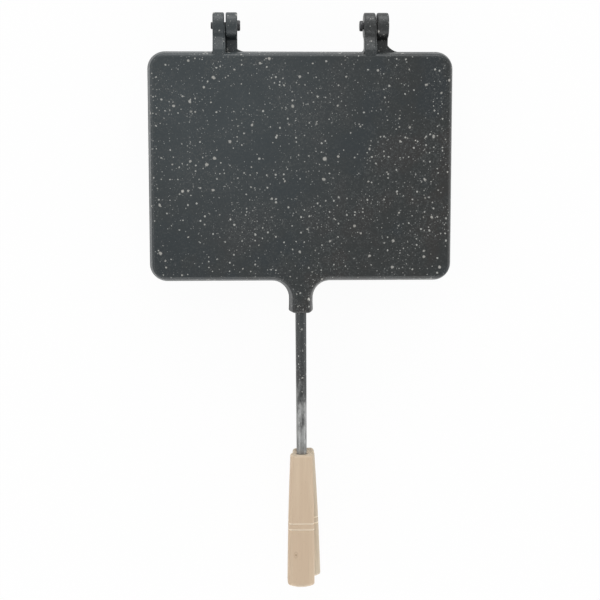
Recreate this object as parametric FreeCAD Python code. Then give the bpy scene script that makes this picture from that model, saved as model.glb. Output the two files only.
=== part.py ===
import FreeCAD, Part
import math
import os

# Pie iron: a hinged double-sided pan of two cast halves, each with a steel rod and a wooden handle.
# Millimetres. X runs across the plate, Y from the handles to the hinge, Z up.
# The origin is the centre of the lower half's outer face, which rests on the stove.
# Each half is modelled in a frame of its own, with the parting plane at Z 0 and the outer face above it.

# The plate of one half
plate_width = 227.0
plate_length = 170.8
plate_corner_radius = 13.0
half_height = 12.0
wall_draft_deg = 12.0
shoulder_radius = 3.0
parting_edge_radius = 0.5

# The pan inside the plate
rim_width = 6.0
floor_thickness = 3.5
cavity_draft_deg = 14.0
cavity_floor_radius = 3.0
rim_inner_radius = 0.7

# The neck that holds the rod
neck_width = 17.8
neck_flare = 0.3
neck_length = 23.6
neck_root_radius = 13.0
neck_end_radius = 1.8

# The hinge lugs
hinge_spacing = 111.9
hinge_reach = 18.7
lug_width = 8.5
lug_play = 1.5
eye_radius = 9.7
heel_radius = 2.0
lug_edge_radius = 1.1
lug_valley_height = 7.4
lug_valley_length = 2.2
lug_valley_radius = 2.0
lug_crest_reach = 0.5
lug_crest_drop = 0.15
lug_root_depth = 7.0

# The web beside each lug: it widens the arm and the eye's near side towards the other half's lug
web_reach = 0.7
web_clearance = 0.3
web_drop = 0.7

# The gussets on the lugs' other side: how far each reaches along the plate, and up the lug
upper_outer_gusset = (1.8, 2.0)
upper_inner_gusset = (2.3, 2.3)
lower_outer_gusset = (9.2, 4.5)
lower_inner_gusset = (6.4, 2.0)
gusset_height = 8.5
gusset_sink = 0.25

# The hinge pins
pin_diameter = 5.2
left_pin_length = 19.6
right_pin_length = 19.3
pin_head_diameter = 7.8
pin_head_thickness = 2.2
pin_head_round = 0.9
pin_tip_chamfer = 0.5
pin_running_clearance = 0.07
right_pin_stand_off = 0.9

# The rods
rod_diameter = 7.5
rod_embedded_length = 22.0
rod_visible_length = 106.4
rod_tang_length = 60.0
rod_end_chamfer = 0.8
rod_height = 6.0
rod_splay_deg = 2.8
lower_rod_lean_deg = 0.55
anchor_ring_width = 1.4
anchor_ring_depth = 0.6
anchor_ring_count = 2

# The handles
handle_length = 101.7
handle_top_width = 16.5
handle_end_width = 20.2
handle_top_thickness = 15.2
handle_end_thickness = 18.8
handle_swell = 0.9
handle_section_count = 7
handle_corner_radius = 3.4
handle_dome_radius = 27.0
handle_end_round = 2.4
handle_top_round = 2.2
handle_bore_spare = 2.0
mark_distance = 51.9
mark_pitch = 4.5
mark_width = 1.0
mark_depth = 0.25
mark_count = 2

# How each handle sits on its rod: driven less far on, bored off its middle, and bored askew
upper_handle_set_back = 1.4
upper_handle_offset = -0.3
upper_handle_skew_deg = -0.35
lower_handle_set_back = 3.6
lower_handle_offset = 1.5
lower_handle_skew_deg = 1.3

# How far the lower half sits to the left of the upper one
side_play = 0.3

# How far every cut runs on past what it cuts, and how near two spots count as one
overrun = 2.0
tolerance = 0.002

# Worked out from the sizes above
half_width = plate_width / 2
half_length = plate_length / 2
pin_y = half_length + hinge_reach
neck_end_y = -half_length - neck_length
wall_inset = half_height * math.tan(math.radians(wall_draft_deg))
cavity_depth = half_height - floor_thickness
pin_radius = pin_diameter / 2
rod_radius = rod_diameter / 2
outer_lug_x = -(hinge_spacing + lug_play) / 2 - lug_width
inner_lug_x = (hinge_spacing - lug_play) / 2 - lug_width

X_AXIS = FreeCAD.Vector(1, 0, 0)
Y_AXIS = FreeCAD.Vector(0, 1, 0)
Z_AXIS = FreeCAD.Vector(0, 0, 1)
CENTRE = FreeCAD.Vector(0, 0, 0)


def point(x, y, z):
    return FreeCAD.Vector(x, y, z)


def line(start, end):
    return Part.LineSegment(start, end).toShape()


def arc(start, middle, end):
    return Part.Arc(start, middle, end).toShape()


def arc_about(centre_x, centre_y, radius, start_deg, end_deg, z):
    """An arc in a level plane, from one angle to the other."""
    spots = []
    for angle in (start_deg, (start_deg + end_deg) / 2, end_deg):
        turn = math.radians(angle)
        spots.append(point(centre_x + radius * math.cos(turn), centre_y + radius * math.sin(turn), z))
    return arc(*spots)


def first_point(edge):
    return edge.valueAt(edge.FirstParameter)


def last_point(edge):
    return edge.valueAt(edge.LastParameter)


def closed_wire(arcs):
    """The arcs in order, with a straight line across each gap between them."""
    edges = []
    for this, following in zip(arcs, arcs[1:] + arcs[:1]):
        edges.append(this)
        if last_point(this).distanceToPoint(first_point(following)) > tolerance:
            edges.append(line(last_point(this), first_point(following)))
    return Part.Wire(edges)


def rounded_rectangle(width, length, radius, z):
    x = width / 2 - radius
    y = length / 2 - radius
    corners = [
        arc_about(x, -y, radius, -90, 0, z),
        arc_about(x, y, radius, 0, 90, z),
        arc_about(-x, y, radius, 90, 180, z),
        arc_about(-x, -y, radius, 180, 270, z),
    ]
    return closed_wire(corners)


def edges_where(shape, wanted):
    """The edges whose ends and middle all pass the test."""
    found = []
    for edge in shape.Edges:
        middle = edge.valueAt((edge.FirstParameter + edge.LastParameter) / 2)
        if all(wanted(spot) for spot in (first_point(edge), middle, last_point(edge))):
            found.append(edge)
    return found


def same(a, b):
    return abs(a - b) < tolerance


def casting_outline(inset, z):
    """The plate with its neck, seen from above. The neck runs on past its end, to be cut off square."""
    corner = plate_corner_radius - inset
    x = half_width - plate_corner_radius
    y = half_length - plate_corner_radius
    root_x = neck_width / 2 + neck_root_radius
    waist_y = -half_length - neck_root_radius
    root = neck_root_radius + inset
    run = neck_length - neck_root_radius
    side = (run**2 + neck_flare**2) / (2 * neck_flare)
    side_x = neck_width / 2 + side
    turn = math.degrees(math.asin((run + overrun) / (side + inset)))
    arcs = [
        arc_about(side_x, waist_y, side + inset, 180 + turn, 180, z),
        arc_about(root_x, waist_y, root, 180, 90, z),
        arc_about(x, -y, corner, -90, 0, z),
        arc_about(x, y, corner, 0, 90, z),
        arc_about(-x, y, corner, 90, 180, z),
        arc_about(-x, -y, corner, 180, 270, z),
        arc_about(-root_x, waist_y, root, 90, 0, z),
        arc_about(-side_x, waist_y, side + inset, 0, -turn, z),
    ]
    return closed_wire(arcs)


def solid_plate_and_neck():
    """The outside of a half: drafted wall, rounded shoulder, flat outer face and the neck, cut square."""
    body = Part.makeLoft([casting_outline(0, 0), casting_outline(wall_inset, half_height)], True, True)
    ends = edges_where(body, lambda spot: spot.y < neck_end_y - overrun / 2)
    shoulder = edges_where(body, lambda spot: same(spot.z, half_height))
    shoulder = [edge for edge in shoulder if not any(edge.isSame(end) for end in ends)]
    body = body.makeFillet(shoulder_radius, shoulder)
    ends = edges_where(body, lambda spot: spot.y < neck_end_y - overrun / 2)
    parting = edges_where(body, lambda spot: same(spot.z, 0))
    parting = [edge for edge in parting if not any(edge.isSame(end) for end in ends)]
    body = body.makeFillet(parting_edge_radius, parting)
    waste_low = point(-neck_width, neck_end_y - neck_length, -overrun)
    waste = Part.makeBox(2 * neck_width, neck_length, half_height + 2 * overrun, waste_low)
    body = body.cut(waste)
    neck_end = edges_where(body, lambda spot: same(spot.y, neck_end_y))
    return body.makeFillet(neck_end_radius, neck_end)


def cavity():
    """The shallow pan, open at the parting plane, with its rim's inner edge rounded."""
    spread = math.tan(math.radians(cavity_draft_deg))
    width = plate_width - 2 * rim_width
    length = plate_length - 2 * rim_width
    radius = plate_corner_radius - rim_width
    floor_inset = cavity_depth * spread
    mouth = rounded_rectangle(width, length, radius, 0)
    floor = rounded_rectangle(
        width - 2 * floor_inset, length - 2 * floor_inset, radius - floor_inset, cavity_depth
    )
    pan = Part.makeLoft([mouth, floor], True, True)
    floor_edges = edges_where(pan, lambda spot: same(spot.z, cavity_depth))
    return pan.makeFillet(cavity_floor_radius, floor_edges)


def eye_spot(turn):
    """A spot on the eye's rim, by its turn about the pin axis from the side away from the plate."""
    return point(0, pin_y + eye_radius * math.cos(turn), eye_radius * math.sin(turn))


def lug_side_outline():
    """A lug seen from the side: the eye, the valley behind it and the slope up to the plate's face."""
    deep_y = half_length - lug_root_depth
    crest_y = half_length + lug_crest_reach
    crest_z = half_height - lug_crest_drop
    over_turn = math.pi - math.asin(lug_valley_height / eye_radius)
    barrel_end = eye_spot(over_turn)
    foot = point(0, barrel_end.y - lug_valley_length, lug_valley_height)
    heel_reach = math.sqrt(eye_radius**2 + 2 * eye_radius * heel_radius)
    heel_turn = math.atan2(heel_radius, heel_reach)
    heel_start = eye_spot(heel_turn - math.pi)
    heel_end = point(0, pin_y - heel_reach, 0)
    heel_middle_turn = (math.pi / 2 - heel_turn) / 2 + heel_turn
    heel_middle = point(
        0,
        heel_end.y + heel_radius * math.cos(heel_middle_turn),
        -heel_radius + heel_radius * math.sin(heel_middle_turn),
    )
    edges = [
        line(point(0, deep_y, 0), point(0, deep_y, crest_z)),
        line(point(0, deep_y, crest_z), point(0, crest_y, crest_z)),
        line(point(0, crest_y, crest_z), foot),
        line(foot, barrel_end),
        arc(barrel_end, eye_spot(over_turn / 2), eye_spot(0)),
        arc(eye_spot(0), eye_spot((heel_turn - math.pi) / 2), heel_start),
        arc(heel_start, heel_middle, heel_end),
        line(heel_end, point(0, deep_y, 0)),
    ]
    return Part.Face(Part.Wire(edges))


def lug_body(left_x, width):
    """A lug's arm and eye with its crest and valley rounded."""
    body = lug_side_outline().extrude(X_AXIS * width)
    body.translate(point(left_x, 0, 0))

    def across(spot):
        on_crest = same(spot.z, half_height - lug_crest_drop) and spot.y > half_length
        in_valley = same(spot.z, lug_valley_height) and spot.y < pin_y
        return on_crest or in_valley

    bends = [edge for edge in edges_where(body, across) if same(first_point(edge).y, last_point(edge).y)]
    return body.makeFillet(lug_valley_radius, bends)


def lug(left_x, hole_radius, gusset_size):
    """One lug with rounded edges, its gusset, its web and its pin hole."""
    body = lug_body(0, lug_width)
    body = body.makeFillet(lug_edge_radius, lug_long_edges(body))
    body = body.fuse([web(), gusset(*gusset_size)])
    body.translate(point(left_x, 0, 0))
    hole_start = point(left_x - overrun, pin_y, 0)
    return body.cut(Part.makeCylinder(hole_radius, lug_width + web_reach + 2 * overrun, hole_start, X_AXIS))


def web():
    """The arm and the near quarter of the eye, a little lower and reaching past the lug's side."""
    body = lug_body(lug_width / 2, lug_width / 2 + web_reach)
    body.translate(point(0, 0, -web_drop))
    low_corner = point(0, half_length - lug_root_depth, web_clearance)
    quarter = Part.makeBox(lug_width + web_reach + overrun, lug_root_depth + hinge_reach, half_height, low_corner)
    return body.common(quarter)


def gusset_outline(reach, rise, z):
    """The hollow corner between the plate's edge and the lug's side, drawn back with the drafted wall."""
    edge_y = half_length - z * math.tan(math.radians(wall_draft_deg))
    low_y = edge_y - gusset_sink
    deep_y = edge_y - lug_root_depth / 2
    radius = (reach**2 + rise**2) / (2 * rise)
    turn = math.atan2(reach, radius - rise)
    middle = point(radius * math.sin(turn / 2) - reach, low_y + radius * (1 - math.cos(turn / 2)), z)
    inside_x = lug_edge_radius + lug_width / 4
    spots = [
        point(0, low_y + rise, z),
        point(inside_x, low_y + rise, z),
        point(inside_x, deep_y, z),
        point(-reach, deep_y, z),
        point(-reach, low_y, z),
    ]
    edges = [line(spot, following) for spot, following in zip(spots, spots[1:])]
    edges.append(arc(spots[-1], middle, spots[0]))
    return Part.Wire(edges)


def gusset(reach, rise):
    return Part.makeLoft([gusset_outline(reach, rise, 0), gusset_outline(reach, rise, gusset_height)], True, True)


def lug_long_edges(body):
    """Every edge along one of a lug's two sides that shows past the plate's edge."""
    inside_y = half_length - lug_root_depth / 2

    def beside(spot):
        return spot.y > inside_y and (same(spot.x, 0) or same(spot.x, lug_width))

    return edges_where(body, beside)


def stick_to_half(shape, lean_deg):
    """Lay a shape that was built along Z on the rod's axis, which starts at the end of the neck."""
    shape.rotate(CENTRE, X_AXIS, 90 - rod_splay_deg)
    shape.rotate(CENTRE, Z_AXIS, lean_deg)
    shape.translate(point(0, neck_end_y, rod_height))
    return shape


def rod(lean_deg):
    """A round rod with chamfered ends and, inside the neck, rings that the casting grips."""
    start = -rod_embedded_length
    end = rod_visible_length + rod_tang_length
    spots = [(0, start), (rod_radius - rod_end_chamfer, start), (rod_radius, start + rod_end_chamfer)]
    for number in range(1, anchor_ring_count + 1):
        ring = start + number * rod_embedded_length / (anchor_ring_count + 1) - anchor_ring_width / 2
        spots.append((rod_radius, ring))
        spots.append((rod_radius - anchor_ring_depth, ring))
        spots.append((rod_radius - anchor_ring_depth, ring + anchor_ring_width))
        spots.append((rod_radius, ring + anchor_ring_width))
    spots += [(rod_radius, end - rod_end_chamfer), (rod_radius - rod_end_chamfer, end), (0, end), (0, start)]
    outline = Part.makePolygon([point(radius, 0, distance) for radius, distance in spots])
    body = Part.Face(outline).revolve(CENTRE, Z_AXIS, 360)
    return stick_to_half(body, lean_deg)


def handle_section(distance, inset):
    """The handle's rounded rectangle at a distance from its top end."""
    share = distance / handle_length
    swell = handle_swell * math.sin(math.pi * share)
    width = handle_top_width + share * (handle_end_width - handle_top_width) + swell
    thickness = handle_top_thickness + share * (handle_end_thickness - handle_top_thickness) + swell
    radius = handle_corner_radius - inset
    return rounded_rectangle(width - 2 * inset, thickness - 2 * inset, radius, rod_visible_length + distance)


def handle_mark(distance):
    """A shallow band cut all round the handle."""
    outside = Part.Face(handle_section(distance, -mark_depth))
    inside = Part.Face(handle_section(distance, mark_depth))
    return outside.cut(inside).extrude(Z_AXIS * mark_width)


def handle(lean_deg, set_back, offset, skew_deg):
    """A tapered, slightly bellied wooden handle with a domed end, two marks and the bore for the tang."""
    end = rod_visible_length + handle_length
    step = handle_length / (handle_section_count - 1)
    sections = [handle_section(number * step, 0) for number in range(handle_section_count)]
    body = Part.makeLoft(sections, True, False)
    dome_start = end - handle_dome_radius
    dome_centre = point(0, 0, dome_start)
    waste = Part.makeCylinder(handle_dome_radius, handle_dome_radius + overrun, dome_centre)
    waste = waste.cut(Part.makeSphere(handle_dome_radius, dome_centre))
    body = body.cut(waste)
    top = edges_where(body, lambda spot: same(spot.z, rod_visible_length))
    body = body.makeFillet(handle_top_round, top)
    low = end - handle_dome_radius / 2
    rim = edges_where(body, lambda spot: spot.z > low and not same(math.hypot(spot.x, spot.y), 0))
    rim = [edge for edge in rim if edge_runs_round(edge)]
    body = body.makeFillet(handle_end_round, rim)
    for number in range(mark_count):
        body = body.cut(handle_mark(mark_distance + number * mark_pitch))
    body.rotate(point(0, 0, rod_visible_length), Y_AXIS, skew_deg)
    body.translate(point(offset, 0, set_back))
    bore_start = point(0, 0, rod_visible_length - overrun)
    bore = Part.makeCylinder(rod_radius, rod_tang_length + handle_bore_spare + overrun, bore_start)
    return stick_to_half(body.cut(bore), lean_deg)


def edge_runs_round(edge):
    """Whether an edge goes round the handle rather than along it."""
    start = first_point(edge)
    end = last_point(edge)
    return math.hypot(start.x - end.x, start.y - end.y) > abs(start.z - end.z)


def casting(lean_deg, outer_gusset, inner_gusset):
    """One cast half: plate, neck and two lugs, with the pan and the rod's seat cut out."""
    body = solid_plate_and_neck()
    outer_lug = lug(outer_lug_x, pin_radius + pin_running_clearance, outer_gusset)
    inner_lug = lug(inner_lug_x, pin_radius, inner_gusset)
    body = body.fuse([outer_lug, inner_lug])
    body = body.cut([cavity(), rod(lean_deg)])
    mouth = edges_where(body, is_rim_mouth)
    body = body.makeFillet(rim_inner_radius, mouth)
    return body.Solids[0]


def is_rim_mouth(spot):
    inside_x = half_width - rim_width / 2
    inside_y = half_length - rim_width / 2
    return same(spot.z, 0) and abs(spot.x) < inside_x and abs(spot.y) < inside_y


def hinge_pin(length):
    """A headed pin along X: the head's underside is at X 0 and the shank runs to the left."""
    shank = Part.makeCylinder(pin_radius, length, CENTRE, -X_AXIS)
    tip = edges_where(shank, lambda spot: same(spot.x, -length))
    shank = shank.makeChamfer(pin_tip_chamfer, tip)
    head = Part.makeCylinder(pin_head_diameter / 2, pin_head_thickness, CENTRE, X_AXIS)
    crown = edges_where(head, lambda spot: same(spot.x, pin_head_thickness))
    head = head.makeFillet(pin_head_round, crown)
    return shank.fuse(head).removeSplitter()


def left_hinge_pin():
    """Driven home in the lower half's lug; its tip stands out past the upper half's lug."""
    body = hinge_pin(left_pin_length)
    body.translate(point(-inner_lug_x, pin_y, half_height))
    return body


def right_hinge_pin():
    """Turned end for end in the upper half's lug, and not driven quite home."""
    body = hinge_pin(right_pin_length)
    body.rotate(CENTRE, Z_AXIS, 180)
    body.translate(point(side_play + inner_lug_x - right_pin_stand_off, pin_y, half_height))
    return body


def upper(shape):
    """Place a shape of the upper half: it sits to the right by the side play."""
    shape.translate(point(side_play, 0, half_height))
    return shape


def lower(shape):
    """Place a shape of the lower half, turned over about the long axis."""
    shape.rotate(CENTRE, Y_AXIS, 180)
    shape.translate(point(0, 0, half_height))
    return shape


def pieces():
    lean = -lower_rod_lean_deg
    upper_seat = (upper_handle_set_back, upper_handle_offset, upper_handle_skew_deg)
    lower_seat = (lower_handle_set_back, -lower_handle_offset, -lower_handle_skew_deg)
    return {
        "upper_plate": upper(casting(0, upper_outer_gusset, upper_inner_gusset)),
        "lower_plate": lower(casting(lean, lower_outer_gusset, lower_inner_gusset)),
        "upper_rod": upper(rod(0)),
        "lower_rod": lower(rod(lean)),
        "upper_handle": upper(handle(0, *upper_seat)),
        "lower_handle": lower(handle(lean, *lower_seat)),
        "left_hinge_pin": left_hinge_pin(),
        "right_hinge_pin": right_hinge_pin(),
    }


os.makedirs("parts", exist_ok=True)
for name, shape in pieces().items():
    shape.exportStep(f"parts/{name}.step")
    box = shape.BoundBox
    spans = [(box.XMin, box.XMax), (box.YMin, box.YMax), (box.ZMin, box.ZMax)]
    extents = " ".join(f"{low:.1f}..{high:.1f}" for low, high in spans)
    print(name, "valid" if shape.isValid() else "BROKEN", len(shape.Solids), f"{shape.Volume:.0f}", extents)
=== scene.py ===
"""Looks of a pie iron: two speckled cast halves, hinged at one edge, on steel rods with beech handles."""

import logging
import math
from collections.abc import Mapping, Sequence
from dataclasses import dataclass, field
from enum import Enum
from typing import Any

import bmesh
import bpy
from mathutils import Matrix, Vector


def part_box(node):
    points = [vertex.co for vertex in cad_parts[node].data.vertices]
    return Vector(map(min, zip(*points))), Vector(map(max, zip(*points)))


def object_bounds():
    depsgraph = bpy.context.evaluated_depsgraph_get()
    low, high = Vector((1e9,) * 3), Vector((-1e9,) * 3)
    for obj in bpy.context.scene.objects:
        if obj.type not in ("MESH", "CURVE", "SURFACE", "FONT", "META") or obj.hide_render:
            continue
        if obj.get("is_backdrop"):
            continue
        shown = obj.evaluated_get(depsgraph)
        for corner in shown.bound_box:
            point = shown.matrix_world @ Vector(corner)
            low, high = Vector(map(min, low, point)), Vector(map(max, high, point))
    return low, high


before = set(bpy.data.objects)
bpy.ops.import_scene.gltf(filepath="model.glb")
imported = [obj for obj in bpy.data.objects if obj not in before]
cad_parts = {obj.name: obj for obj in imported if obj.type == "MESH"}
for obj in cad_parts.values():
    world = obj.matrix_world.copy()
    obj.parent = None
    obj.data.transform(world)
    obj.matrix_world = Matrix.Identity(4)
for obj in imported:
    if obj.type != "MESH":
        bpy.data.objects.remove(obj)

log = logging.getLogger("pie_iron")

PICTURE_WIDTH = 600.0
SENSOR_WIDTH = 36.0
NOISE_MIDDLE = 0.5


def linear(red: float, green: float, blue: float) -> tuple[float, float, float, float]:
    """Turn an 8-bit screen colour into the linear colour that a socket takes.

    Args:
        red: red from 0 to 255.
        green: green from 0 to 255.
        blue: blue from 0 to 255.

    Returns:
        Linear red, green, blue and an alpha of 1.
    """
    shares = [value / 255.0 for value in (red, green, blue)]
    curve = [share / 12.92 if share <= 0.04045 else ((share + 0.055) / 1.055) ** 2.4 for share in shares]
    return (curve[0], curve[1], curve[2], 1.0)


class Wire:
    """A shader socket that Python's operators work on."""

    def __init__(self, graph: "Graph", socket: bpy.types.NodeSocket) -> None:
        """Keep the socket with the graph that it is in."""
        self.graph = graph
        self.socket = socket

    def __add__(self, other: "Wire | float") -> "Wire":
        """Add a number or another wire."""
        return self.graph.maths("ADD", self, other)

    __radd__ = __add__

    def __sub__(self, other: "Wire | float") -> "Wire":
        """Take away a number or another wire."""
        return self.graph.maths("SUBTRACT", self, other)

    def __rsub__(self, other: float) -> "Wire":
        """Take this wire away from a number."""
        return self.graph.maths("SUBTRACT", other, self)

    def __mul__(self, other: "Wire | float") -> "Wire":
        """Multiply by a number or another wire."""
        return self.graph.maths("MULTIPLY", self, other)

    __rmul__ = __mul__

    def __pow__(self, power: float) -> "Wire":
        """Raise to a power."""
        return self.graph.maths("POWER", self, power)

    def __lt__(self, other: "Wire | float") -> "Wire":
        """Give 1 where this wire is below the other, and 0 elsewhere."""
        return self.graph.maths("LESS_THAN", self, other)

    def __abs__(self) -> "Wire":
        """Drop the sign."""
        return self.graph.maths("ABSOLUTE", self)

    def at_least(self, other: "Wire | float") -> "Wire":
        """The larger of the two."""
        return self.graph.maths("MAXIMUM", self, other)

    def step(self, low: "Wire | float", high: "Wire | float") -> "Wire":
        """Rise smoothly from 0 at low to 1 at high.

        Args:
            low: where the rise starts.
            high: where it ends.

        Returns:
            The smooth step, from 0 to 1.
        """
        sockets = {"Value": self, "From Min": low, "From Max": high}
        return self.graph.wire("ShaderNodeMapRange", "Result", {"interpolation_type": "SMOOTHSTEP"}, sockets)

    def near(self, middle: float, inner: float, outer: float) -> "Wire":
        """Fall smoothly from 1 near a middle to 0 away from it.

        Args:
            middle: where this wire gives 1.
            inner: how far from the middle the fall starts.
            outer: how far from it the fall ends.

        Returns:
            The share, from 0 to 1.
        """
        return 1.0 - abs(self - middle).step(inner, outer)


class Graph:
    """The node tree of one material or of the world."""

    def __init__(self, owner: bpy.types.Material | bpy.types.World) -> None:
        """Empty the owner's node tree and keep it."""
        owner.use_nodes = True
        self.tree = owner.node_tree
        self.tree.nodes.clear()

    def node(
        self,
        kind: str,
        settings: Mapping[str, Any] | None = None,
        sockets: Mapping[str | int, Any] | None = None,
    ) -> bpy.types.Node:
        """Make any node.

        Args:
            kind: the node's type.
            settings: its properties, set first.
            sockets: a value or a wire for each socket, by name or number.

        Returns:
            The node.
        """
        made = self.tree.nodes.new(kind)
        for name, value in (settings or {}).items():
            setattr(made, name, value)
        for name, value in (sockets or {}).items():
            if isinstance(value, Wire):
                self.tree.links.new(value.socket, made.inputs[name])
            else:
                made.inputs[name].default_value = value
        return made

    def wire(
        self,
        kind: str,
        output: str | int,
        settings: Mapping[str, Any] | None = None,
        sockets: Mapping[str | int, Any] | None = None,
    ) -> Wire:
        """Make a node and give one of its outputs as a wire."""
        return Wire(self, self.node(kind, settings, sockets).outputs[output])

    def maths(self, operation: str, *terms: Wire | float) -> Wire:
        """Make a Math node on one or two terms."""
        return self.wire("ShaderNodeMath", 0, {"operation": operation}, dict(enumerate(terms)))

    def vector_maths(self, operation: str, *terms: Any) -> Wire:
        """Make a Vector Math node whose result is a vector."""
        return self.wire("ShaderNodeVectorMath", "Vector", {"operation": operation}, dict(enumerate(terms)))

    def place(self, origin: Sequence[float] = (0, 0, 0), turn: Sequence[float] = (0, 0, 0)) -> Wire:
        """The place on the object, seen from a frame of its own.

        Args:
            origin: where the frame's zero is, in metres.
            turn: the frame's Euler angles.

        Returns:
            A vector in metres.
        """
        spot = self.wire("ShaderNodeTexCoord", "Object")
        sockets = {"Vector": spot, "Location": tuple(origin), "Rotation": tuple(turn)}
        return self.wire("ShaderNodeMapping", "Vector", {"vector_type": "TEXTURE"}, sockets)

    def axes(self, vector: Wire) -> tuple[Wire, Wire, Wire]:
        """Split a vector into X, Y and Z."""
        parts = self.node("ShaderNodeSeparateXYZ", None, {"Vector": vector})
        return tuple(Wire(self, output) for output in parts.outputs)

    @staticmethod
    def reach(first: Wire, second: Wire) -> Wire:
        """The distance from zero of a place with these two coordinates."""
        return (first * first + second * second) ** 0.5

    def gap(self, vector: Wire, other: Sequence[float]) -> Wire:
        """The distance between two places."""
        sockets = {0: vector, 1: tuple(other)}
        return self.wire("ShaderNodeVectorMath", "Value", {"operation": "DISTANCE"}, sockets)

    def stretched(self, vector: Wire, shares: Sequence[float]) -> Wire:
        """Multiply each axis of a vector by its own share."""
        return self.vector_maths("MULTIPLY", vector, tuple(shares))

    def noise(self, vector: Wire, size: float, detail: float = 2.0, rough: float = 0.5) -> Wire:
        """Soft noise from 0 to 1.

        Args:
            vector: the place in metres.
            size: how wide a lump is, in metres.
            detail: how many finer layers it has.
            rough: how strong the finer layers are.

        Returns:
            The noise.
        """
        sockets = {"Vector": vector, "Scale": 1.0 / size, "Detail": detail, "Roughness": rough}
        return self.wire("ShaderNodeTexNoise", 0, {"noise_dimensions": "3D"}, sockets)

    def jostled(self, vector: Wire, size: float, reach: float) -> Wire:
        """Push places about by noise, so that what is drawn there isn't quite regular.

        Args:
            vector: the place in metres.
            size: how wide a push is.
            reach: how far it pushes.

        Returns:
            The pushed place.
        """
        push = self.wire(
            "ShaderNodeTexNoise", "Color", {"noise_dimensions": "3D"}, {"Vector": vector, "Scale": 1.0 / size}
        )
        centred = self.vector_maths("SUBTRACT", push, (NOISE_MIDDLE,) * 3)
        return self.vector_maths("ADD", vector, self.stretched(centred, (reach,) * 3))

    def blend(self, share: Wire | float, under: Any, over: Any) -> Wire:
        """Lay one colour over another by a share from 0 to 1."""
        return self.wire("ShaderNodeMix", 2, {"data_type": "RGBA"}, {0: share, 6: under, 7: over})

    def bump(self, height: Wire) -> Wire:
        """Turn a height in metres into a normal."""
        sockets = {"Height": height, "Distance": 1.0, "Strength": 1.0}
        return self.wire("ShaderNodeBump", "Normal", None, sockets)

    def finish_surface(self, sockets: Mapping[str, Any]) -> None:
        """End a material in a Principled shader with these sockets."""
        shader = self.node("ShaderNodeBsdfPrincipled", None, sockets)
        self.node("ShaderNodeOutputMaterial", None, {"Surface": Wire(self, shader.outputs[0])})


class Half(Enum):
    """The two halves of the iron. The name is the first word of its nodes, and the value its body."""

    UPPER = "upper_half"
    LOWER = "lower_half"

    def node(self, piece: str) -> bpy.types.Object:
        """The CAD node of one of this half's pieces."""
        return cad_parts[f"{self.name.lower()}_{piece}"]

    def wood(self) -> "WoodFinish":
        """The wood of this half's handle: the upper one's has a knot, and the lower one's is greyer, partly a
        different tone of beech and partly painted shade from the upper handle in front of it.
        """
        if self is Half.UPPER:
            return WoodFinish(knots=(Knot(0.0042, 0.0759, 0.0009),))
        # greyer wood for the lower handle: partly its own tone, partly painted shade from the upper handle in
        # front of it
        return WoodFinish(pale=linear(214, 202, 181), tan=linear(202, 187, 165), pith=(-0.03, 0.0, 0.02))

    def steel(self, coat: "CoatingFinish") -> "RodFinish":
        """The steel of this half's rod, with painted brown shade and a painted reflection of the wood where
        it goes into the handle: on the lower rod, which lies behind, the painted shade is stronger and
        reaches further from the wood.
        """
        if self is Half.UPPER:
            return RodFinish(coat)
        return RodFinish(coat, brown_shade_from=0.08, brown_shade_to=0.098, brown_shade_share=0.95)


@dataclass(frozen=True)
class Flecks:
    """One size of fleck in the coating. Lengths are in metres.

    Args:
        spacing: about how far apart the flecks could be.
        radius: the largest fleck's radius.
        share: how many of the places hold one.
        colour: the flecks' colour.
        strength: how strongly they cover the coat.
        wobble_size_share: how wide the pushes are that roughen a fleck, in radii.
        wobble_reach_share: how far they push, in radii.
        size_curve: the power that makes small flecks the commoner ones.
        least_size_share: the smallest fleck's radius, as a share of the largest.
        solid_share: how far a fleck is solid, in its own radii.
        faded_share: where it has faded out, in its own radii.
        least_shade: the faintest fleck's strength.
    """

    spacing: float
    radius: float
    share: float
    colour: tuple[float, float, float, float]
    strength: float = 1.0
    wobble_size_share: float = 1.6
    wobble_reach_share: float = 1.1
    size_curve: float = 1.8
    least_size_share: float = 0.25
    solid_share: float = 0.6
    faded_share: float = 1.05
    least_shade: float = 0.55

    def mask(self, graph: Graph, spot: Wire, crowd: Wire) -> Wire:
        """Where these flecks are.

        Args:
            graph: the material's graph.
            spot: the place in metres.
            crowd: how crowded the flecks are there, where 1 is plainly.

        Returns:
            A share from 0 to 1.
        """
        wobble_size = self.radius * self.wobble_size_share
        wobble_reach = self.radius * self.wobble_reach_share
        wobble = graph.jostled(spot, wobble_size, wobble_reach)
        sockets = {"Vector": wobble, "Scale": 1.0 / self.spacing, "Randomness": 1.0}
        cells = graph.node("ShaderNodeTexVoronoi", {"voronoi_dimensions": "3D", "feature": "F1"}, sockets)
        distance = Wire(graph, cells.outputs["Distance"]) * self.spacing
        size_draw, chance, shade_draw = graph.axes(Wire(graph, cells.outputs["Color"]))
        least = self.least_size_share
        radius = (size_draw ** self.size_curve * (1.0 - least) + least) * self.radius
        spread = 1.0 - distance.step(radius * self.solid_share, radius * self.faded_share)
        shade = shade_draw * (1.0 - self.least_shade) + self.least_shade
        return spread * (chance < crowd * self.share) * shade * self.strength


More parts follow.
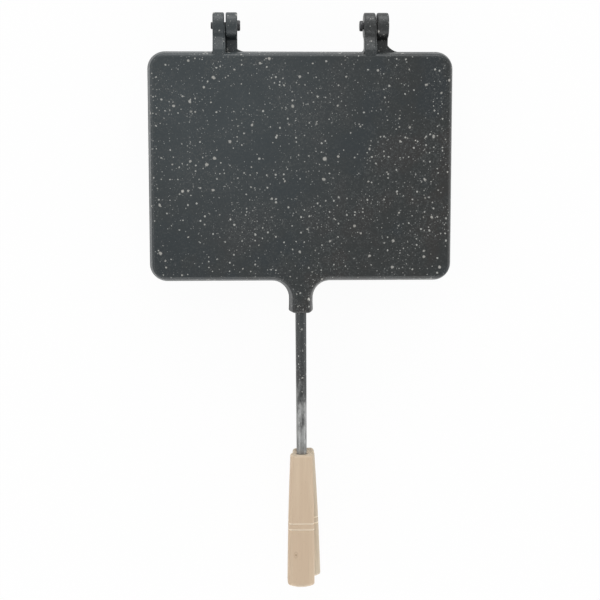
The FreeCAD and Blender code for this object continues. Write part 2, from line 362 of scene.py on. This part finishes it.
@dataclass(frozen=True)
class CoatingFinish:
    """The charcoal non-stick coat with pale flecks that covers the castings.

    Lengths are in metres. A band holds the two levels of noise between which something sets in.
    """

    cool: tuple[float, float, float, float] = linear(31, 37, 40)
    plain: tuple[float, float, float, float] = linear(33, 36, 36)
    warm: tuple[float, float, float, float] = linear(36, 35, 34)
    # painted sheen: a pale bluish glow laid on the plate towards its upper left, standing in for a soft
    # lamp's reflection on the satin coat
    painted_sheen: tuple[float, float, float, float] = linear(53, 60, 63)
    grit: tuple[float, float, float, float] = linear(70, 73, 73)
    bare: tuple[float, float, float, float] = linear(150, 150, 147)
    roughness: float = 0.42
    refraction: float = 1.4
    flecks: Sequence[Flecks] = (
        Flecks(spacing=0.0013, radius=0.0004, share=0.65, colour=linear(112, 113, 112), strength=0.8),
        Flecks(spacing=0.0019, radius=0.00058, share=0.8, colour=linear(144, 145, 143)),
        Flecks(spacing=0.0031, radius=0.00096, share=0.85, colour=linear(174, 174, 170)),
        Flecks(spacing=0.0058, radius=0.0016, share=0.75, colour=linear(196, 194, 188)),
    )
    # where the painted sheen is centred, how far it reaches, and how strongly it covers the coat
    sheen_middle: tuple[float, float, float] = (-0.07, 0.05, 0.012)
    sheen_reach: float = 0.19
    sheen_least: float = 0.5
    sheen_gain: float = 0.8
    patch_size: float = 0.034
    plain_band: tuple[float, float] = (0.36, 0.5)
    warm_band: tuple[float, float] = (0.52, 0.64)
    crowd_size: float = 0.03
    crowd_band: tuple[float, float] = (0.3, 0.68)
    crowd_gain: float = 0.95
    crowd_least: float = 0.25
    grit_size: float = 0.0013
    grit_band: tuple[float, float] = (0.45, 0.75)
    grit_share: float = 0.85
    grain_size: float = 0.0012
    grain_depth: float = 0.00011
    swell_size: float = 0.014
    swell_depth: float = 0.00018
    seam_inner: float = 0.0003
    seam_outer: float = 0.001
    eye_inner: float = 0.0042
    eye_outer: float = 0.0056
    wear_size: float = 0.005
    rim_band: tuple[float, float] = (0.6, 0.68)
    eye_band: tuple[float, float] = (0.42, 0.6)
    worn_metal_share: float = 0.7
    dull_size: float = 0.017
    dull_swing: float = 0.12
    fleck_dullness: float = 0.12

    def colour(self, graph: Graph, spot: Wire, sheened: bool = True) -> tuple[Wire, Wire]:
        """The coat's colour.

        Args:
            graph: the material's graph.
            spot: the place in metres.
            sheened: whether the painted sheen lies on it, a pale bluish glow towards the plate's upper left
                that stands in for the soft lamps' reflection.

        Returns:
            The colour, and the share of the surface that is fleck.
        """
        patches = graph.noise(spot, self.patch_size, detail=3.0)
        ground = graph.blend(patches.step(*self.plain_band), self.cool, self.plain)
        ground = graph.blend(patches.step(*self.warm_band), ground, self.warm)
        # paint a pale sheen towards the plate's upper left, standing in for the soft lamps' reflection
        if sheened:
            sheen_spot = graph.gap(spot, self.sheen_middle).near(0.0, 0.0, self.sheen_reach)
            ground = graph.blend(sheen_spot * (self.sheen_least + patches * self.sheen_gain), ground, self.painted_sheen)
        crowding = graph.noise(spot, self.crowd_size, detail=3.0, rough=0.6).step(*self.crowd_band)
        crowd = crowding * self.crowd_gain + self.crowd_least
        grit = graph.noise(spot, self.grit_size, rough=0.6).step(*self.grit_band)
        coat = graph.blend(grit * crowd * self.grit_share, ground, self.grit)
        covered: Wire | float = 0.0
        for flecks in self.flecks:
            mask = flecks.mask(graph, spot, crowd)
            coat = graph.blend(mask, coat, flecks.colour)
            covered = mask.at_least(covered)
        return coat, covered

    def relief(self, graph: Graph, spot: Wire) -> Wire:
        """The coat's orange peel and the casting's slight swell, in metres."""
        grain = graph.noise(spot, self.grain_size, detail=3.0, rough=0.6) * self.grain_depth
        return graph.noise(spot, self.swell_size, detail=1.0) * self.swell_depth + grain

    def worn(self, graph: Graph, spot: Wire, hinge: Vector) -> Wire:
        """Where the coat has rubbed through: on the rims that meet, and round the pins.

        Args:
            graph: the material's graph.
            spot: the place in metres.
            hinge: a place on the hinge's axis, which lies in the parting plane.

        Returns:
            A share from 0 to 1.
        """
        _, along, up = graph.axes(graph.vector_maths("SUBTRACT", spot, tuple(hinge)))
        patches = graph.noise(spot, self.wear_size, detail=4.0, rough=0.65)
        rim = up.near(0.0, self.seam_inner, self.seam_outer) * patches.step(*self.rim_band)
        eye = graph.reach(along, up).near(0.0, self.eye_inner, self.eye_outer) * patches.step(*self.eye_band)
        return rim.at_least(eye)

    def material(self, name: str, hinge: Vector) -> bpy.types.Material:
        """Make the coat's material.

        Args:
            name: the material's name.
            hinge: a place on the hinge's axis.

        Returns:
            The material.
        """
        made = bpy.data.materials.new(name)
        graph = Graph(made)
        spot = graph.place()
        colour, flecks = self.colour(graph, spot)
        worn = self.worn(graph, spot, hinge)
        dull = graph.noise(spot, self.dull_size, detail=3.0) * self.dull_swing - self.dull_swing / 2
        graph.finish_surface(
            {
                "Base Color": graph.blend(worn, colour, self.bare),
                "Metallic": worn * self.worn_metal_share,
                "Roughness": dull + flecks * self.fleck_dullness + self.roughness,
                "IOR": self.refraction,
                "Normal": graph.bump(self.relief(graph, spot)),
            }
        )
        return made


@dataclass(frozen=True)
class RodFinish:
    """A mild steel rod that shares the castings' coat near the neck and is bare towards the handle.

    Lengths are in metres. A stretch is the share by which a pattern's places shrink along the rod.
    """

    coat: CoatingFinish = CoatingFinish()
    bare: tuple[float, float, float, float] = linear(150, 151, 150)
    scaled: tuple[float, float, float, float] = linear(74, 74, 74)
    # painted shade: a brown that stands in for the handle's shadow and the wood's reflection on the steel
    # next to the handle
    painted_brown_shade: tuple[float, float, float, float] = linear(86, 74, 60)
    coated_to: float = 0.03
    bare_from: float = 0.108
    brown_shade_from: float = 0.099
    brown_shade_to: float = 0.106
    brown_shade_share: float = 0.6
    brown_shade_band: tuple[float, float] = (0.35, 0.6)
    blotch_size: float = 0.0045
    blotch_stretch: float = 0.4
    wear_drift: float = 0.07
    cleaned_band: tuple[float, float] = (0.5, 0.92)
    cleaned_by_drawing: float = 0.2
    cleaned_by_wear: float = 0.25
    steel_band: tuple[float, float] = (0.1, 0.75)
    bare_metal_share: float = 0.75
    roughness: float = 0.45
    roughness_swing: float = 0.24
    drawn_size: float = 0.0005
    drawn_stretch: float = 0.03
    drawn_depth: float = 0.00003
    pit_size: float = 0.0009
    pit_depth: float = 0.00009

    def material(self, name: str, origin: Vector, turn: Sequence[float]) -> bpy.types.Material:
        """Make one rod's material.

        Args:
            name: the material's name.
            origin: where the rod leaves the neck.
            turn: Euler angles that lay the pattern's Y along the rod.

        Returns:
            The material.
        """
        made = bpy.data.materials.new(name)
        graph = Graph(made)
        spot = graph.place(origin, turn)
        along = graph.axes(spot)[1]
        blotched = graph.stretched(spot, (1.0, self.blotch_stretch, 1.0))
        blotches = graph.noise(blotched, self.blotch_size, detail=5.0, rough=0.68)
        drawn = graph.noise(graph.stretched(spot, (1.0, self.drawn_stretch, 1.0)), self.drawn_size)
        pits = graph.noise(spot, self.pit_size, detail=3.0, rough=0.6)
        drifted = along + blotches * self.wear_drift - self.wear_drift / 2
        worn = drifted.step(self.coated_to, self.bare_from)
        coat, _ = self.coat.colour(graph, spot, sheened=False)
        clean = blotches + drawn * self.cleaned_by_drawing + worn * self.cleaned_by_wear
        steel = graph.blend(clean.step(*self.cleaned_band), self.scaled, self.bare)
        # paint brown shade and the wood's reflection on the rod, in blotches, where it nears the handle
        brown_shaded = along.step(self.brown_shade_from, self.brown_shade_to) * blotches.step(*self.brown_shade_band)
        steel = graph.blend(brown_shaded * self.brown_shade_share, steel, self.painted_brown_shade)
        relief = drawn * self.drawn_depth + pits * self.pit_depth
        graph.finish_surface(
            {
                "Base Color": graph.blend(worn.step(*self.steel_band), coat, steel),
                "Metallic": worn * self.bare_metal_share,
                "Roughness": blotches * self.roughness_swing + (self.roughness - self.roughness_swing / 2),
                "Normal": graph.bump(relief),
            }
        )
        return made


@dataclass(frozen=True)
class Knot:
    """A small knot on a handle's face.

    Args:
        across: how far it lies to the side of the handle's middle, in metres.
        along: how far it lies from the handle's top.
        radius: its radius.
        along_share: how much of the way along the handle counts, which draws the knot out.
        heart_share: how far the dark heart is at its darkest, in radii.
        ring_share: how far out the ring lies, in radii.
        ring_width_share: how wide the ring is to either side, in radii.
        heart_strength: how dark the heart is.
        ring_strength: how dark the ring is.
    """

    across: float
    along: float
    radius: float
    along_share: float = 0.6
    heart_share: float = 0.3
    ring_share: float = 1.5
    ring_width_share: float = 0.6
    heart_strength: float = 0.75
    ring_strength: float = 0.25


@dataclass(frozen=True)
class WoodFinish:
    """Pale, unvarnished beech.

    Lengths are in metres. A stretch is the share by which a pattern's places shrink along the grain, and
    a strength is how far a pattern's colour covers the one below it.
    """

    pale: tuple[float, float, float, float] = linear(217, 196, 170)
    tan: tuple[float, float, float, float] = linear(207, 184, 158)
    pore: tuple[float, float, float, float] = linear(172, 145, 118)
    end_grain: tuple[float, float, float, float] = linear(200, 187, 166)
    # pale wood in the two cut marks, made brighter still as a painted highlight that outweighs the shade in
    # their grooves
    pale_lit_mark: tuple[float, float, float, float] = linear(250, 236, 214)
    knot_colour: tuple[float, float, float, float] = linear(150, 120, 90)
    # painted shade: a dark brown ring round the rod's bore at the handle's top, standing in for the shade
    # where the rod goes into the wood
    bore_shade: tuple[float, float, float, float] = linear(92, 74, 56)
    knots: Sequence[Knot] = ()
    marks: Sequence[float] = (0.0519, 0.0564)
    mark_width: float = 0.001
    mark_full_share: float = 0.4
    mark_edge_share: float = 0.7
    mark_strength: float = 0.9
    band_size: float = 0.007
    band_stretch: float = 0.05
    pale_band: tuple[float, float] = (0.34, 0.66)
    fibre_size: float = 0.0008
    fibre_stretch: float = 0.025
    fibre_band: tuple[float, float] = (0.55, 0.8)
    fibre_strength: float = 0.22
    fibre_depth: float = 0.00004
    ring_pitch: float = 0.0026
    ring_curve: float = 2.5
    ring_drift_size: float = 0.03
    ring_drift: float = 0.006
    ring_strength: float = 0.35
    ring_depth: float = 0.00003
    pith: tuple[float, float, float] = (0.021, 0.0, -0.034)
    ray_size: float = 0.0011
    ray_stretch: float = 0.22
    ray_band: tuple[float, float] = (0.1, 0.2)
    ray_chance: float = 0.55
    ray_strength: float = 0.3
    ray_depth: float = 0.00003
    knot_drift_size: float = 0.004
    knot_drift: float = 0.0012
    top_full: float = 0.0003
    top_edge: float = 0.0016
    dome_from: float = 0.0042
    dome_full: float = 0.0012
    end_ring_strength: float = 0.55
    end_fibre_strength: float = 0.2
    bore_radius: float = 0.00375
    # how far the painted shade ring reaches round the bore, where it is full and faded along the handle, and
    # how dark it is
    bore_shade_reach_share: float = 1.45
    bore_shade_full: float = 0.002
    bore_shade_edge: float = 0.006
    bore_shade_strength: float = 0.55
    roughness: float = 0.62
    roughness_drop: float = 0.08
    fibre_roughness: float = 0.15
    end_roughness: float = 0.12

    def _rings(self, graph: Graph, spot: Wire) -> Wire:
        """The year rings, as a soft wave from 0 to 1 round a pith outside the handle."""
        drift = graph.jostled(spot, self.ring_drift_size, self.ring_drift)
        across, _, up = graph.axes(graph.vector_maths("SUBTRACT", drift, self.pith))
        year = graph.reach(across, up) * (1.0 / self.ring_pitch)
        return (year - graph.maths("FLOOR", year)) ** self.ring_curve

    def _rays(self, graph: Graph, spot: Wire) -> Wire:
        """Beech's short dark dashes along the grain, as a share from 0 to 1."""
        shrunk = graph.stretched(spot, (1.0, self.ray_stretch, 1.0))
        sockets = {"Vector": shrunk, "Scale": 1.0 / self.ray_size, "Randomness": 1.0}
        cells = graph.node("ShaderNodeTexVoronoi", {"voronoi_dimensions": "3D"}, sockets)
        chance = graph.axes(Wire(graph, cells.outputs["Color"]))[0]
        away = Wire(graph, cells.outputs["Distance"]).step(*self.ray_band)
        return (1.0 - away) * (chance < self.ray_chance)

    def _knotted(self, graph: Graph, spot: Wire, under: Wire) -> Wire:
        """Lay the knots over a colour, each a dark heart in a paler ring."""
        across, along, _ = graph.axes(graph.jostled(spot, self.knot_drift_size, self.knot_drift))
        for knot in self.knots:
            reach = graph.reach(across - knot.across, (along - knot.along) * knot.along_share)
            heart = reach.near(0.0, knot.radius * knot.heart_share, knot.radius)
            ring = reach.near(knot.radius * knot.ring_share, 0.0, knot.radius * knot.ring_width_share)
            under = graph.blend(heart * knot.heart_strength, under, self.knot_colour)
            under = graph.blend(ring * knot.ring_strength, under, self.knot_colour)
        return under

    def _ends(self, graph: Graph, along: Wire, length: float) -> Wire:
        """Where the handle's two ends show end grain, as a share from 0 to 1."""
        top = along.near(0.0, self.top_full, self.top_edge)
        return top.at_least(along.step(length - self.dome_from, length - self.dome_full))

    def material(
        self,
        name: str,
        body: tuple[Vector, Sequence[float]],
        bore: tuple[Vector, Sequence[float]],
        length: float,
    ) -> bpy.types.Material:
        """Make one handle's material.

        Args:
            name: the material's name.
            body: the middle of the handle's top end, and the angles that lay Y along it.
            bore: the same for the rod in it.
            length: the handle's length in metres.

        Returns:
            The material.
        """
        made = bpy.data.materials.new(name)
        graph = Graph(made)
        spot = graph.place(*body)
        along = graph.axes(spot)[1]
        banded = graph.stretched(spot, (1.0, self.band_stretch, 1.0))
        bands = graph.noise(banded, self.band_size, detail=3.0)
        fibrous = graph.stretched(spot, (1.0, self.fibre_stretch, 1.0))
        fibre = graph.noise(fibrous, self.fibre_size, detail=3.0, rough=0.6)
        rings = self._rings(graph, spot)
        rays = self._rays(graph, spot)
        colour = graph.blend(bands.step(*self.pale_band), self.tan, self.pale)
        colour = graph.blend(rings * self.ring_strength, colour, self.tan)
        colour = graph.blend(fibre.step(*self.fibre_band) * self.fibre_strength, colour, self.pore)
        colour = graph.blend(rays * self.ray_strength, colour, self.pore)
        colour = self._knotted(graph, spot, colour)
        # paint the cut marks pale, brightened past the wood's own tone as painted light against the grooves'
        # shade
        for pale_lit_mark in self.marks:
            middle = pale_lit_mark + self.mark_width / 2
            full, edge = self.mark_width * self.mark_full_share, self.mark_width * self.mark_edge_share
            lit_cut = along.near(middle, full, edge)
            colour = graph.blend(lit_cut * self.mark_strength, colour, self.pale_lit_mark)
        ends = self._ends(graph, along, length)
        dark = rings * self.end_ring_strength + fibre * self.end_fibre_strength
        grain = graph.blend(dark, self.end_grain, self.pore)
        colour = graph.blend(ends, colour, grain)
        # paint shade in a ring round the bore at the handle's top, where the rod goes into the wood
        across, depth, up = graph.axes(graph.place(*bore))
        bore_shade_reach = self.bore_radius * self.bore_shade_reach_share
        beside = graph.reach(across, up).near(0.0, self.bore_radius, bore_shade_reach)
        bore_shaded = beside * depth.near(0.0, self.bore_shade_full, self.bore_shade_edge)
        colour = graph.blend(bore_shaded * self.bore_shade_strength, colour, self.bore_shade)
        relief = fibre * self.fibre_depth - rays * self.ray_depth - rings * self.ring_depth
        rough = fibre * self.fibre_roughness + ends * self.end_roughness
        graph.finish_surface(
            {
                "Base Color": colour,
                "Roughness": rough + (self.roughness - self.roughness_drop),
                "Normal": graph.bump(relief),
            }
        )
        return made


@dataclass(frozen=True)
class PinFinish:
    """Blackened steel, rubbed a little brighter in places. Lengths are in metres."""

    black: tuple[float, float, float, float] = linear(46, 47, 49)
    rubbed: tuple[float, float, float, float] = linear(104, 104, 104)
    wear_size: float = 0.0022
    wear_depth: float = 0.00006
    rubbed_band: tuple[float, float] = (0.52, 0.72)
    metal_band: tuple[float, float] = (0.45, 0.7)
    metal_gain: float = 0.5
    metal_least: float = 0.3
    scratch_size: float = 0.0004
    scratch_stretch: float = 0.1
    scratch_depth: float = 0.00001
    roughness: float = 0.42
    roughness_drop: float = 0.14
    wear_roughness: float = 0.22
    scratch_roughness: float = 0.1

    def material(self, name: str) -> bpy.types.Material:
        """Make the pins' material."""
        made = bpy.data.materials.new(name)
        graph = Graph(made)
        spot = graph.place()
        wear = graph.noise(spot, self.wear_size, detail=4.0, rough=0.65)
        scratched = graph.stretched(spot, (self.scratch_stretch, 1.0, 1.0))
        scratches = graph.noise(scratched, self.scratch_size)
        rough = wear * self.wear_roughness + scratches * self.scratch_roughness
        relief = wear * self.wear_depth + scratches * self.scratch_depth
        graph.finish_surface(
            {
                "Base Color": graph.blend(wear.step(*self.rubbed_band), self.black, self.rubbed),
                "Metallic": wear.step(*self.metal_band) * self.metal_gain + self.metal_least,
                "Roughness": rough + (self.roughness - self.roughness_drop),
                "Normal": graph.bump(relief),
            }
        )
        return made


def dress(piece: bpy.types.Object, material: bpy.types.Material) -> None:
    """Give a piece one material in place of those it has."""
    piece.data.materials.clear()
    piece.data.materials.append(material)


@dataclass
class Stick:
    """The line that a rod or a handle lies on."""

    piece: bpy.types.Object
    end_band: float = 0.003

    def _end(self, first: bool) -> Vector:
        """The middle of one end of the piece: the end towards the hinge, or the other."""
        spots = [vertex.co for vertex in self.piece.data.vertices]
        edge = max(spot.y for spot in spots) if first else min(spot.y for spot in spots)
        near = [spot for spot in spots if abs(spot.y - edge) < self.end_band]
        low = Vector([min(spot[axis] for spot in near) for axis in range(3)])
        high = Vector([max(spot[axis] for spot in near) for axis in range(3)])
        return (low + high) / 2

    def lay(self, y: float) -> tuple[Vector, tuple[float, float, float]]:
        """A frame on the line whose Y runs towards the handle.

        Args:
            y: how far along the world's Y the frame's zero is.

        Returns:
            The zero, and the Euler angles that turn the world to the frame.
        """
        start, end = self._end(True), self._end(False)
        along = (end - start).normalized()
        across = along.cross(Vector((0, 0, 1))).normalized()
        up = across.cross(along)
        turn = Matrix((across, along, up)).transposed().to_euler()
        return start + along * ((y - start.y) / along.y), tuple(turn)


@dataclass
class IronHalf:
    """One half of the iron: its casting, its rod and its handle."""

    half: Half
    coating: bpy.types.Material
    rod_finish: RodFinish
    wood: WoodFinish

    def build(self) -> None:
        """Dress the half's three pieces."""
        name = self.half.name.lower()
        plate, rod, handle = (self.half.node(piece) for piece in ("plate", "rod", "handle"))
        neck_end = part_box(plate.name)[0].y
        low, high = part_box(handle.name)
        dress(plate, self.coating)
        dress(rod, self.rod_finish.material(f"{name}_rod_steel", *Stick(rod).lay(neck_end)))
        body, bore = Stick(handle).lay(high.y), Stick(rod).lay(high.y)
        dress(handle, self.wood.material(f"{name}_handle_wood", body, bore, high.y - low.y))


@dataclass
class HingePins:
    """The two pins of the hinge."""

    finish: PinFinish = PinFinish()

    def build(self) -> None:
        """Dress both pins."""
        material = self.finish.material("pin_steel")
        for side in ("left", "right"):
            dress(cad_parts[f"{side}_hinge_pin"], material)


@dataclass(frozen=True)
class SoftBox:
    """A large rectangular lamp that looks at the iron.

    Args:
        name: the lamp's name.
        azimuth: which side it stands on, in degrees from +Y towards +X.
        elevation: how high it stands, in degrees above the horizon.
        height: its height in metres.
        radiance: how bright it looks, where 1 is white.
        distance: how far it is, in metres.
        width: its width in metres.
    """

    name: str
    azimuth: float
    elevation: float
    height: float
    radiance: float
    distance: float = 1.6
    width: float = 1.6

    def build(self, aim: Vector) -> bpy.types.Object:
        """Make the lamp.

        Args:
            aim: what it looks at.

        Returns:
            The lamp's object.
        """
        light = bpy.data.lights.new(self.name, "AREA")
        light.shape = "RECTANGLE"
        light.size = self.width
        light.size_y = self.height
        light.energy = self.radiance * math.pi * self.width * self.height
        azimuth, elevation = math.radians(self.azimuth), math.radians(self.elevation)
        level = math.cos(elevation)
        away = Vector((math.sin(azimuth) * level, math.cos(azimuth) * level, math.sin(elevation)))
        lamp = bpy.data.objects.new(self.name, light)
        bpy.context.scene.collection.objects.link(lamp)
        lamp.location = aim + away * self.distance
        lamp.rotation_mode = "QUATERNION"
        lamp.rotation_quaternion = away.to_track_quat("Z", "Y")
        lamp.visible_camera = False
        return lamp


@dataclass
class Studio:
    """The floor, the lamps, the world and the camera."""

    floor_radius: float = 6.0
    floor_sides: int = 96
    floor_gap: float = 0.0002
    floor_colour: tuple[float, float, float, float] = linear(252, 252, 252)
    shadow_share: float = 0.05
    fill: float = 0.3
    distance: float = 1.0
    pitch: float = 6.468
    yaw: float = 2.556
    roll: float = 0.044
    focal_pixels: float = 1318.668
    centre_pixels: tuple[float, float] = (300.57, 299.6)
    target: tuple[float, float, float] = (0.0, -0.1, 0.012)
    lit_spot: tuple[float, float, float] = (0.0, -0.03, 0.012)
    lamps: Sequence[SoftBox] = field(
        default_factory=lambda: (
            SoftBox("far_box", azimuth=0.0, elevation=14.0, height=0.7, radiance=4.4),
            SoftBox("high_box", azimuth=0.0, elevation=41.0, height=1.3, radiance=1.0),
            SoftBox("near_box", azimuth=180.0, elevation=14.0, height=0.7, radiance=4.2),
            SoftBox("near_high_box", azimuth=180.0, elevation=32.0, height=0.7, radiance=0.8),
            SoftBox("left_box", azimuth=-90.0, elevation=32.0, height=0.7, radiance=1.8),
            SoftBox("right_box", azimuth=90.0, elevation=14.0, height=0.7, radiance=2.2),
        )
    )

    def _white_to_lenses(self, graph: Graph) -> Wire:
        """Give 1 for what the camera sees, straight, mirrored or through glass."""
        path = graph.node("ShaderNodeLightPath")
        kinds = [Wire(graph, path.outputs[f"Is {kind} Ray"]) for kind in ("Camera", "Glossy", "Transmission")]
        return kinds[0].at_least(kinds[1]).at_least(kinds[2])

    def _floor(self, height: float) -> bpy.types.Object:
        """Make the floor, a white disc that keeps a soft shadow.

        Args:
            height: the floor's height in metres.

        Returns:
            The floor.
        """
        shape = bmesh.new()
        bmesh.ops.create_circle(shape, cap_ends=True, segments=self.floor_sides, radius=self.floor_radius)
        bmesh.ops.translate(shape, verts=shape.verts, vec=(0, 0, height))
        mesh = bpy.data.meshes.new("floor")
        shape.to_mesh(mesh)
        shape.free()
        floor = bpy.data.objects.new("floor", mesh)
        bpy.context.scene.collection.objects.link(floor)
        material = bpy.data.materials.new("floor_paper")
        graph = Graph(material)
        paper = graph.node("ShaderNodeBsdfDiffuse", None, {"Color": self.floor_colour})
        white = graph.node("ShaderNodeEmission", None, {"Strength": 1.0})
        share = self._white_to_lenses(graph) * (1.0 - self.shadow_share)
        sockets = {0: share, 1: Wire(graph, paper.outputs[0]), 2: Wire(graph, white.outputs[0])}
        mixed = graph.wire("ShaderNodeMixShader", 0, None, sockets)
        graph.node("ShaderNodeOutputMaterial", None, {"Surface": mixed})
        dress(floor, material)
        floor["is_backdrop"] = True
        return floor

    def _world(self) -> None:
        """Make the world: white to the camera, and a soft fill for the rest."""
        world = bpy.data.worlds.new("studio")
        bpy.context.scene.world = world
        graph = Graph(world)
        seen = self._white_to_lenses(graph)
        strength = seen * (1.0 - self.fill) + self.fill
        light = graph.wire("ShaderNodeBackground", 0, None, {"Color": (1, 1, 1, 1), "Strength": strength})
        graph.node("ShaderNodeOutputWorld", None, {"Surface": light})

    def _camera(self) -> bpy.types.Object:
        """Stand the camera where the photograph was taken from."""
        pitch, yaw, roll = (math.radians(angle) for angle in (self.pitch, self.yaw, self.roll))
        back = Vector((-math.sin(yaw) * math.cos(pitch), math.sin(pitch), math.cos(yaw) * math.cos(pitch)))
        right = Vector((math.cos(yaw), 0, math.sin(yaw)))
        up = back.cross(right)
        turned = right * math.cos(roll) - up * math.sin(roll), up * math.cos(roll) + right * math.sin(roll)
        data = bpy.data.cameras.new("camera")
        data.sensor_width = SENSOR_WIDTH
        data.lens = self.focal_pixels * SENSOR_WIDTH / PICTURE_WIDTH
        data.shift_x = (PICTURE_WIDTH / 2 - self.centre_pixels[0]) / PICTURE_WIDTH
        data.shift_y = (self.centre_pixels[1] - PICTURE_WIDTH / 2) / PICTURE_WIDTH
        camera = bpy.data.objects.new("camera", data)
        bpy.context.scene.collection.objects.link(camera)
        turn = Matrix((turned[0], turned[1], back)).transposed()
        camera.matrix_world = Matrix.Translation(Vector(self.target) + back * self.distance) @ turn.to_4x4()
        bpy.context.scene.camera = camera
        return camera

    def build(self, lowest: float) -> None:
        """Set up the studio.

        Args:
            lowest: the height of the iron's lowest point.
        """
        self._floor(lowest - self.floor_gap)
        self._world()
        for lamp in self.lamps:
            lamp.build(Vector(self.lit_spot))
        self._camera()
        bpy.context.scene.view_settings.view_transform = "Standard"


def main() -> None:
    """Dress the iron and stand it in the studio."""
    logging.basicConfig(level=logging.INFO, format="%(name)s: %(message)s")
    cad_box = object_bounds()
    coat = CoatingFinish()
    pin_low, pin_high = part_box("left_hinge_pin")
    coating = coat.material("coated_casting", (pin_low + pin_high) / 2)
    for half in Half:
        IronHalf(half, coating, half.steel(coat), half.wood()).build()
        log.info("%s dressed", half.value)
    HingePins().build()
    log.info("hinge pins dressed")
    Studio().build(cad_box[0].z)
    log.info("studio ready")


if __name__ == "__main__":
    main()
